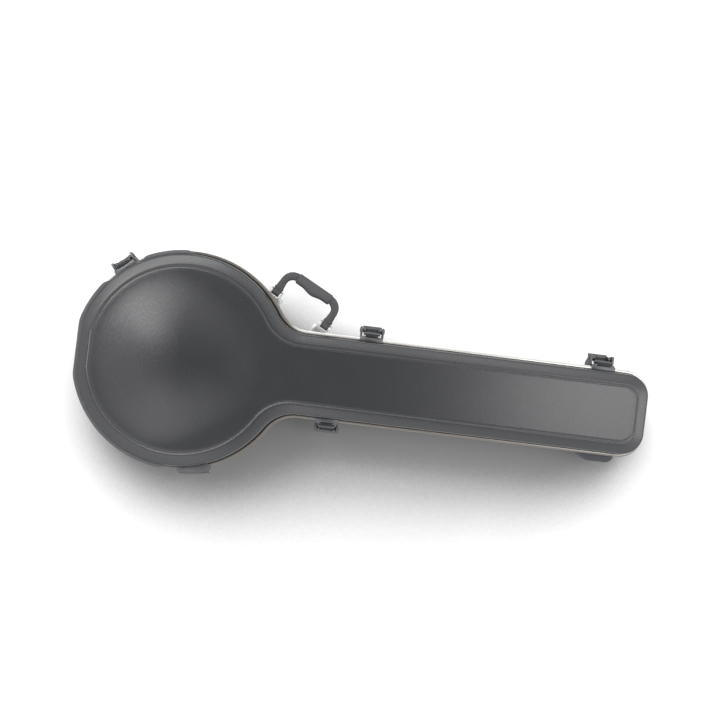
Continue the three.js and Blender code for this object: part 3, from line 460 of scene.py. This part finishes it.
def addRivet(bm, point, outward, radius, height):  # a domed head standing on a face
    turn = outward.to_track_quat("Z", "Y").to_matrix().to_4x4()
    place = Matrix.Translation(point) @ turn @ Matrix.Diagonal((radius, radius, height, 1))
    made = bmesh.ops.create_uvsphere(bm, u_segments=20, v_segments=10, radius=1)["verts"]
    below = [vertex for vertex in made if vertex.co.z < domeFoot]
    bmesh.ops.delete(bm, geom=below, context="VERTS")
    kept = [vertex for vertex in made if vertex.is_valid]
    bmesh.ops.transform(bm, matrix=place, verts=kept)
    rim = [edge for edge in {edge for vertex in kept for edge in vertex.link_edges} if edge.is_boundary]
    bmesh.ops.holes_fill(bm, edges=rim, sides=0)


def readNode(node):
    bm = bmesh.new()
    bm.from_mesh(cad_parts[node].data)
    bmesh.ops.remove_doubles(bm, verts=bm.verts, dist=2 * weld)
    return bm


# The node's own solid as one clean skin with eased edges, to be dressed
def copyNode(node, ease, segments=2, sharper=35):
    bm = readNode(node)
    bmesh.ops.dissolve_limit(bm, angle_limit=radians(0.6), verts=bm.verts, edges=bm.edges)
    easeEdges(bm, ease, segments, sharper)
    return bm


# Latches: each is drawn in its own place, x out of the wall, y along it, z from the parting

latches = {
    "lock_latch": {"at": (0.205 * cos(lockTurn), 0.205 * sin(lockTurn)), "turn": lockTurn},
    "neck_latch_1": {"at": (0.349, 0.08075), "turn": pi / 2},
    "neck_latch_2": {"at": (0.7905, 0.08075), "turn": pi / 2},
    "far_latch": {"at": (0.284, -0.08075), "turn": -pi / 2},
}
latchShape = {
    "pivot": (0.018, -0.013), "half": 0.0225, "bossRadius": 0.0046, "bossProud": 0.0013, "bossSunk": 0.0004,
    "leverHalf": 0.0182, "leverFace": 0.0234, "ribInset": 0.0012, "ribs": (-0.0400, -0.0436, -0.0472),
    "ribRadius": 0.0012, "bar": (0.0214, -0.0296), "barRadius": 0.0027,
    "tab": (0.0232, -0.0335), "tabEnds": (0.0030, 0.0125), "tabRadius": 0.0022, "tabEase": 0.0008,
    "roll": (0.0112, 0.0065), "rollHalf": 0.0160, "rollRadius": 0.0032, "rollEase": 0.0006,
    "flangeOut": 0.0236, "flangeIn": 0.0020, "flangeHigh": -0.0012, "flangeLow": -0.0034,
    "flangeWidth": 0.0039,
    "bridge": (-0.0036, 0.0014), "bridgeLow": 0.0156, "bridgeHigh": 0.0186, "bridgeHalf": 0.0215,
    "pin": (0.01644, -0.02186), "pinRadius": 0.0018,
    "keeperFace": 0.0033, "keeperRivets": ((-0.0150, 0.0212), (0.0150, 0.0212)), "rivet": (0.0022, 0.0011),
    "ease": {"housing": 0.0006, "lever": 0.0005, "hook": 0.0004, "keeper": 0.0004, "plug": 0.0003},
}


def latchPlace(spec):
    x0, y0 = caseShape["centre"]
    x, y = spec["at"]
    return Matrix.Translation((x + x0, y + y0, caseShape["parting"])) @ Matrix.Rotation(spec["turn"], 4, "Z")


def addBlock(bm, place, low, high, ease=0.0004):
    middle = [(a + b) / 2 for a, b in zip(low, high)]
    size = [b - a for a, b in zip(low, high)]
    there = place @ Matrix.Translation(middle) @ Matrix.Diagonal((*size, 1))
    made = bmesh.ops.create_cube(bm, size=1, matrix=there)
    edges = {edge for vertex in made["verts"] for edge in vertex.link_edges}
    bmesh.ops.bevel(bm, geom=list(edges), offset=ease, segments=2, profile=0.5, affect="EDGES", material=-1)


def makeLatch(name, spec):
    place = latchPlace(spec)
    shape, ease = latchShape, latchShape["ease"]

    def at(x, y, z):
        return place @ Vector((x, y, z))

    def addBar(bm, spot, ends, *more):  # a rod along the wall, x and z from the spot
        addRod(bm, at(spot[0], ends[0], spot[1]), at(spot[0], ends[1], spot[1]), *more)

    housing = copyNode(name + "_housing", ease["housing"])
    for side in (-1, 1):
        addBar(housing, shape["pivot"], (side * (shape["half"] - shape["bossSunk"]),
                                         side * (shape["half"] + shape["bossProud"])), shape["bossRadius"])
        low, high = sorted((side * shape["half"], side * (shape["half"] - shape["flangeWidth"])))
        addBlock(housing, place, (shape["flangeIn"], low, shape["flangeLow"]),
                 (shape["flangeOut"], high, shape["flangeHigh"]))
    finishPiece(housing, "housing_" + name, "base", "latch", [name + "_housing"])

    lever = copyNode(name + "_lever", ease["lever"])
    half = shape["leverHalf"] - shape["ribInset"]
    for z in shape["ribs"]:
        addBar(lever, (shape["leverFace"], z), (-half, half), shape["ribRadius"], 16)
    addBar(lever, shape["bar"], (-half, half), shape["barRadius"], 24)
    for side in (-1, 1):
        addBar(lever, shape["tab"], [side * end for end in shape["tabEnds"]], shape["tabRadius"], 20,
               shape["tabEase"])
    finishPiece(lever, "lever_" + name, name + "_lever", "latch", [name + "_lever"])

    hook = copyNode(name + "_hook", ease["hook"])
    # the hook's near-black finish is painted shade that makes the slot read dark
    finishPiece(hook, "hook_" + name, name + "_hook", "hook", [name + "_hook"])
    roll = bmesh.new()
    addBar(roll, shape["roll"], (-shape["rollHalf"], shape["rollHalf"]), shape["rollRadius"], 28,
           shape["rollEase"])
    finishPiece(roll, "roll_" + name, name + "_hook", "latch")

    pin = bmesh.new()
    addBar(pin, shape["pin"], (-shape["leverHalf"], shape["leverHalf"]), shape["pinRadius"])
    finishPiece(pin, "hookPin_" + name, name + "_lever", "steel", [name + "_hook_pin"])

    keeper = copyNode(name + "_keeper", ease["keeper"])
    outward = place.to_3x3() @ Vector((1, 0, 0))
    for y, z in shape["keeperRivets"]:
        addRivet(keeper, at(shape["keeperFace"], y, z), outward, *shape["rivet"])
    inner, outer = shape["bridge"]
    addBlock(keeper, place, (inner, -shape["bridgeHalf"], shape["bridgeLow"]),
             (outer, shape["bridgeHalf"], shape["bridgeHigh"]))
    finishPiece(keeper, "keeper_" + name, "lid", "latch", [name + "_keeper"])


for latchName, latchSpec in latches.items():
    makeLatch(latchName, latchSpec)
lockPlug = copyNode("lock_latch_cylinder", latchShape["ease"]["plug"])
finishPiece(lockPlug, "lockPlug", "lock_cylinder", "steel", ["lock_latch_cylinder"])
print("latches dressed")

# Hinge

hinge = {"turn": radians(7), "reach": 0.2123, "height": 0.100, "start": -0.010, "length": 0.058,
         "pinRadius": 0.002, "leafReach": 0.2103, "rivets": (0.010, 0.029, 0.048), "rivetDrop": 0.0205,
         "rivet": (0.0028, 0.0012), "ease": 0.0004}


def makeHinge(spec):
    x0, y0 = caseShape["centre"]
    place = Matrix.Translation((x0, y0, spec["height"])) @ Matrix.Rotation(spec["turn"], 4, "Z")
    outward = place.to_3x3() @ Vector((0, -1, 0))
    for node, body, sign in (("hinge_base_leaf", "base", -1), ("hinge_lid_leaf", "lid", 1)):
        leaf = copyNode(node, spec["ease"])
        for along in spec["rivets"]:
            point = place @ Vector((spec["start"] + along, -spec["leafReach"], sign * spec["rivetDrop"]))
            addRivet(leaf, point, outward, *spec["rivet"])
        finishPiece(leaf, "leaf_" + body, body, "hinge", [node])
    pin = bmesh.new()
    ends = [place @ Vector((spec["start"] + along, -spec["reach"], 0)) for along in (0, spec["length"])]
    addRod(pin, *ends, spec["pinRadius"], 24)
    finishPiece(pin, "hingePin", "base", "steel", ["hinge_pin"])


makeHinge(hinge)
print("hinge dressed")

# Carrying handle: drawn in its own place, x out from the pivots, y along the grip, z up

handle = {
    "turn": radians(62.3748), "at": (0.206574, 0.123327, 0.076), "halfSpan": 0.057, "reach": 0.0477,
    "bend": 0.020, "bendSteps": 12, "width": 0.016, "thickness": 0.012, "power": 3.0, "count": 28,
    "leg": (-0.0005, 0.004, 0.0075, 0.0085, 0.012, 0.0135, 0.018, 0.024), "legTop": 0.002, "middle": 0.02,
    "flare": 0.0012, "flareEnds": (0.008, 0.013), "slim": 0.0009, "slimStart": (0.014, 0.01),
    "slimEnd": (0.03, 0.015), "rootThin": 0.0003, "eyeRadius": 0.006, "eyeEase": 0.0008, "pinRadius": 0.0025,
    "ear": 0.0123, "bracketEase": 0.0005, "bracketRivet": (-0.0068, 0.0162), "rivet": (0.0024, 0.0012),
}
grip = {"half": 0.038, "outer": 0.0574, "inner": 0.0364, "swell": 0.0039, "swellHalf": 0.023,
        "thickness": 0.020, "ease": 0.0016, "endThin": 0.0012, "endRun": 0.02, "stations": 44, "power": 2.7,
        "count": 36}


def handlePlace(spec):
    x0, y0 = caseShape["centre"]
    x, y, z = spec["at"]
    return Matrix.Translation((x + x0, y + y0, z)) @ Matrix.Rotation(spec["turn"], 4, "Z")


# One ring of a bar's rounded section, square to its run
def barRing(place, x, y, turn, halfWidth, halfThickness, spec):
    ring = []
    for i in range(spec["count"]):
        a = 2 * pi * i / spec["count"]
        across = abs(cos(a)) ** (2 / spec["power"]) * (1 if cos(a) > 0 else -1) * halfWidth
        up = abs(sin(a)) ** (2 / spec["power"]) * (1 if sin(a) > 0 else -1) * halfThickness
        ring.append(place @ Vector((x + across * cos(turn), y + across * sin(turn), up)))
    return ring


def makeBow(place, spec):
    span, reach, bend, steps = (spec[key] for key in ("halfSpan", "reach", "bend", "bendSteps"))
    path = [(x, -span, -pi / 2) for x in (*spec["leg"], reach - bend - spec["legTop"])]
    path += [(reach - bend + bend * sin(a), -span + bend - bend * cos(a), -pi / 2 + a)
             for a in [pi / 2 * i / steps for i in range(steps + 1)]]
    path += [(reach, y, 0) for y in (-spec["middle"], 0)]
    path += [(x, -y, -turn) for x, y, turn in reversed(path[:-1])]
    flareLow, flareHigh = spec["flareEnds"]
    (slimFrom, slimRun), (endFrom, endRun) = spec["slimStart"], spec["slimEnd"]
    rings = []
    for x, y, turn in path:
        flare = spec["flare"] if flareLow < x < flareHigh else 0
        slim = spec["slim"] * smoothStep((x - slimFrom) / slimRun) * (1 - smoothStep((x - endFrom) / endRun))
        halfThickness = spec["thickness"] / 2 - (0 if x > flareLow else spec["rootThin"])
        rings.append(barRing(place, x, y, turn, spec["width"] / 2 + flare - slim, halfThickness, spec))
    bow = bmesh.new()
    loftRings(bow, rings)
    closeEnds(bow)
    for side in (-1, 1):
        ends = [place @ Vector((0, side * span + way * spec["width"] / 2, 0)) for way in (-1, 1)]
        addRod(bow, *ends, spec["eyeRadius"], 32, spec["eyeEase"])
    finishPiece(bow, "handleBow", "handle", "handle", ["handle_frame"])


def makeGrip(place, spec):
    rings = []
    for i in range(spec["stations"] + 1):
        y = -spec["half"] + 2 * spec["half"] * i / spec["stations"]
        fromEnd = spec["half"] - abs(y)
        ease = spec["ease"] * (1 - sqrt(max(0, 1 - (1 - min(1, fromEnd / spec["ease"])) ** 2)))
        swell = spec["swell"] * smoothStep(1 - abs(y) / spec["swellHalf"])
        inner = spec["inner"] - swell + ease
        outer = spec["outer"] - ease
        thin = spec["endThin"] * (1 - smoothStep(fromEnd / spec["endRun"]))
        rings.append(barRing(place, (inner + outer) / 2, y, 0, (outer - inner) / 2,
                             spec["thickness"] / 2 - ease - thin, spec))
    bm = bmesh.new()
    loftRings(bm, rings)
    closeEnds(bm)
    finishPiece(bm, "handleGrip", "handle", "grip", ["handle_grip"])


def makeBrackets(place, spec):
    outward = place.to_3x3() @ Vector((1, 0, 0))
    depth, along = spec["bracketRivet"]
    for i, side in enumerate((-1, 1), 1):
        middle = side * spec["halfSpan"]
        bracket = copyNode(f"handle_bracket_{i}", spec["bracketEase"])
        for end in (-1, 1):
            addRivet(bracket, place @ Vector((depth, middle + end * along, 0)), outward, *spec["rivet"])
        finishPiece(bracket, f"handleBracket{i}", "base", "steel", [f"handle_bracket_{i}"])
        pin = bmesh.new()
        ends = [place @ Vector((0, middle + way * spec["ear"], 0)) for way in (-1, 1)]
        addRod(pin, *ends, spec["pinRadius"], 24)
        finishPiece(pin, f"handlePin{i}", "base", "steel", [f"handle_pin_{i}"])


makeBow(handlePlace(handle), handle)
makeGrip(handlePlace(handle), grip)
makeBrackets(handlePlace(handle), handle)
print("handle made")

# Feet: three round the body, two at the neck's end, and the half-moon on the hinge side

feet = {"radius": 0.013, "ease": 0.002, "height": 0.0087, "ring": 0.150, "turns": (pi / 3, pi, 5 * pi / 3),
        "neck": 0.8195, "spacing": 0.03375, "sole": 0.003, "step": 0.0008, "standEase": 0.0022}


def makeFeet(spec):
    x0, y0 = caseShape["centre"]
    places = [(spec["ring"] * cos(turn), spec["ring"] * sin(turn)) for turn in spec["turns"]]
    places += [(spec["neck"], spec["spacing"]), (spec["neck"], -spec["spacing"])]
    for i, (x, y) in enumerate(places, 1):
        bm = bmesh.new()
        middle = Matrix.Translation((x + x0, y + y0, spec["height"] / 2))
        bmesh.ops.create_cone(bm, cap_ends=True, segments=48, radius1=spec["radius"], radius2=spec["radius"],
                              depth=spec["height"], matrix=middle)
        low = [edge for edge in bm.edges if all(vertex.co.z < spec["step"] for vertex in edge.verts)]
        bmesh.ops.bevel(bm, geom=low, offset=spec["ease"], segments=4, profile=0.5, affect="EDGES",
                        material=-1)
        sole = [face for face in bm.faces if face.normal.z < -0.9]
        bmesh.ops.inset_region(bm, faces=sole, thickness=spec["sole"], depth=0)
        bmesh.ops.inset_region(bm, faces=sole, thickness=spec["step"], depth=spec["step"])
        finishPiece(bm, f"backFoot{i}", "base", "foot", [f"back_foot_{i}"])
    stand = copyNode("stand_foot", spec["standEase"], 4, 50)
    finishPiece(stand, "standFoot", "base", "foot", ["stand_foot"])


makeFeet(feet)
print("feet fitted")

# Plush inside: foam-backed pieces with soft edges, remeshed from their solids and smoothed

plushPieces = {
    "baseLiner": {"node": "base_liner", "body": "base", "voxel": 0.0042, "rounds": 7, "fill": 0.9},
    "lidLiner": {"node": "lid_liner", "body": "lid", "voxel": 0.0034, "rounds": 3, "fill": 0.9,
                 "under": lidShell, "gap": 0.0005},
    "accessoryTray": {"node": "accessory_box", "body": "base", "voxel": 0.0014, "rounds": 2, "fill": 1.0},
    "accessoryFlap": {"node": "accessory_lid", "body": "accessory_lid", "voxel": 0.0012, "rounds": 3,
                      "fill": 1.0},
    "neckCradle": {"node": "neck_rest", "body": "base", "voxel": 0.0022, "rounds": 6, "fill": 0.9},
}


def makePlush(name, spec):
    bm = readNode(spec["node"])
    mesh = bpy.data.meshes.new("draft")
    bm.to_mesh(mesh)
    bm.free()
    draft = bpy.data.objects.new("draft", mesh)
    bpy.context.scene.collection.objects.link(draft)
    remesh = draft.modifiers.new("Remesh", "REMESH")
    remesh.mode = "VOXEL"
    remesh.voxel_size = spec["voxel"]
    evaluated = draft.evaluated_get(bpy.context.evaluated_depsgraph_get())
    bm = bmesh.new()
    bm.from_mesh(evaluated.to_mesh())
    evaluated.to_mesh_clear()
    bpy.data.objects.remove(draft)
    for _ in range(spec["rounds"]):
        bmesh.ops.smooth_vert(bm, verts=bm.verts, factor=0.5, use_axis_x=True, use_axis_y=True,
                              use_axis_z=True)
    if "under" in spec:  # its hidden side stays inside the moulding
        x0, y0 = caseShape["centre"]
        shell = spec["under"]
        skin = shell["panel"] - shell["wall"] - spec["gap"]
        for vertex in bm.verts:
            height = skin + domeHeight(vertex.co.x - x0, vertex.co.y - y0, shell["rise"])
            vertex.co.z = min(vertex.co.z, height)
    bmesh.ops.recalc_face_normals(bm, faces=bm.faces)
    piece = finishPiece(bm, name, spec["body"], "plush", [spec["node"]], smooth=180)


for plushName, plushSpec in plushPieces.items():
    makePlush(plushName, plushSpec)
print("plush laid in")

# Floor, light and camera

studio = {
    # the paper's own colour, and the darker one that the camera sees, under a camera-only white that fades in
    # the shade: a painted shadow drawn from ambient occlusion
    "floorSize": 9.0, "floorColour": (0.82, 0.82, 0.82), "floorSeen": (0.28, 0.28, 0.28), "floorLift": 0.89,
    "floorRoughness": 0.9, "floorSpecular": 0.1,
    "shadeLean": (-0.12, 0.76, 0.64), "shadeReach": 0.45, "shadeFrom": 0.49, "shadeTo": 0.90,
    "shadeSamples": 16,
    # how high each tone of the sky lies, as the height of a direction, and how bright it is
    "horizon": (0.25, 0.6), "ring": ((0.45, 1.15), (0.85, 1.15)), "zenith": (0.97, 0.12),
    "lamps": {
        "boxOverBody": {"at": (-1.32, 0.475, 2.15), "aim": (-0.42, 0.07, 0.15), "size": (0.30, 0.34),
                        "radiance": 6.4},
        "boxOverNeck": {"at": (0.88, 0.05, 2.10), "aim": (0.4, 0, 0.15), "size": (0.6, 0.7), "radiance": 3.9},
        "boxBehind": {"at": (-0.90, 1.05, 1.90), "aim": (-0.1, 0, 0.1), "size": (1.6, 0.6), "radiance": 3.2},
        "boxAbove": {"at": (0.55, 1.12, 2.05), "aim": (0.2, 0.05, 0.1), "size": (0.7, 0.4), "radiance": 1.8},
        "boxRight": {"at": (1.86, 0, 1.85), "aim": (0.45, 0, 0.15), "size": (0.8, 0.8), "radiance": 2.2},
        "boxFront": {"at": (-0.66, -0.88, 2.10), "aim": (-0.35, -0.1, 0.1), "size": (1.1, 0.6),
                     "radiance": 1.0},
    },
    "camera": {"at": (-0.0092, 0.0447, 2.198), "aim": (-0.0092, 0.0447, 0.146), "up": (-0.12187, 0.99255, 0),
               "angle": radians(36.2)},
}


def makeFloor(spec):
    bm = bmesh.new()
    bmesh.ops.create_grid(bm, x_segments=8, y_segments=8, size=spec["floorSize"] / 2)
    mesh = bpy.data.meshes.new("studioFloor")
    bm.to_mesh(mesh)
    bm.free()
    floor = bpy.data.objects.new("studioFloor", mesh)
    bpy.context.scene.collection.objects.link(floor)
    paper = bpy.data.materials.new("whitePaper")
    paper.use_nodes = True
    nodes, links = paper.node_tree.nodes, paper.node_tree.links
    shader = nodes["Principled BSDF"]
    shader.inputs["Roughness"].default_value = spec["floorRoughness"]
    shader.inputs["Specular IOR Level"].default_value = spec["floorSpecular"]
    path = nodes.new("ShaderNodeLightPath")
    tone = addMix(nodes, spec["floorColour"], spec["floorSeen"])
    links.new(path.outputs["Is Camera Ray"], tone.inputs["Factor"])
    links.new(tone.outputs["Result"], shader.inputs["Base Color"])
    lean = nodes.new("ShaderNodeCombineXYZ")
    for axis, value in zip("XYZ", spec["shadeLean"]):
        lean.inputs[axis].default_value = value
    # painted shadow: ambient occlusion leaned towards the handle side fades the camera-only white beside the
    # case, on the hinge side
    shade = nodes.new("ShaderNodeAmbientOcclusion")
    shade.samples = spec["shadeSamples"]
    shade.inputs["Distance"].default_value = spec["shadeReach"]
    links.new(lean.outputs["Vector"], shade.inputs["Normal"])
    fall = addRange(nodes, spec["shadeFrom"], spec["shadeTo"])
    fall.interpolation_type = "SMOOTHSTEP"
    fall.inputs["To Max"].default_value = spec["floorLift"]
    links.new(shade.outputs["AO"], fall.inputs["Value"])
    lift = addProduct(nodes, links, path.outputs["Is Camera Ray"], fall.outputs["Result"])
    shader.inputs["Emission Color"].default_value = (1, 1, 1, 1)
    links.new(lift, shader.inputs["Emission Strength"])
    mesh.materials.append(paper)


def makeSky(spec):  # a bright ring at half height, dim overhead
    world = bpy.data.worlds.new("studioSky")
    bpy.context.scene.world = world
    world.use_nodes = True
    nodes, links = world.node_tree.nodes, world.node_tree.links
    where = nodes.new("ShaderNodeTexCoord")
    split = nodes.new("ShaderNodeSeparateXYZ")
    ramp = nodes.new("ShaderNodeValToRGB")
    links.new(where.outputs["Generated"], split.inputs["Vector"])
    links.new(split.outputs["Z"], ramp.inputs["Fac"])
    stops = ramp.color_ramp.elements
    for stop, (height, tone) in zip(stops, (spec["horizon"], spec["zenith"])):
        stop.position = height
        stop.color = (tone, tone, tone, 1)
    for height, tone in spec["ring"]:
        stops.new(height).color = (tone, tone, tone, 1)
    path = nodes.new("ShaderNodeLightPath")
    seen = addMix(nodes, (0, 0, 0), (1, 1, 1))  # plain white where the camera looks past the floor
    links.new(path.outputs["Is Camera Ray"], seen.inputs["Factor"])
    links.new(ramp.outputs["Color"], seen.inputs["A"])
    links.new(seen.outputs["Result"], nodes["Background"].inputs["Color"])


def makeLamps(spec):
    for name, lamp in spec["lamps"].items():
        data = bpy.data.lights.new(name, "AREA")
        data.shape = "RECTANGLE"
        data.size, data.size_y = lamp["size"]
        data.energy = lamp["radiance"] * pi * data.size * data.size_y
        light = bpy.data.objects.new(name, data)
        bpy.context.scene.collection.objects.link(light)
        light.location = lamp["at"]
        aim = Vector(lamp["aim"]) - Vector(lamp["at"])
        light.rotation_euler = aim.to_track_quat("-Z", "Y").to_euler()


def makeCamera(spec):
    data = bpy.data.cameras.new("overhead")
    data.angle = spec["angle"]
    camera = bpy.data.objects.new("overhead", data)
    bpy.context.scene.collection.objects.link(camera)
    back = (Vector(spec["at"]) - Vector(spec["aim"])).normalized()
    right = Vector(spec["up"]).cross(back).normalized()
    up = back.cross(right)
    camera.matrix_world = Matrix.Translation(spec["at"]) @ Matrix((right, up, back)).transposed().to_4x4()
    bpy.context.scene.camera = camera


makeFloor(studio)
makeSky(studio)
makeLamps(studio)
makeCamera(studio["camera"])
bpy.context.scene.view_settings.view_transform = "Standard"
print("studio set")
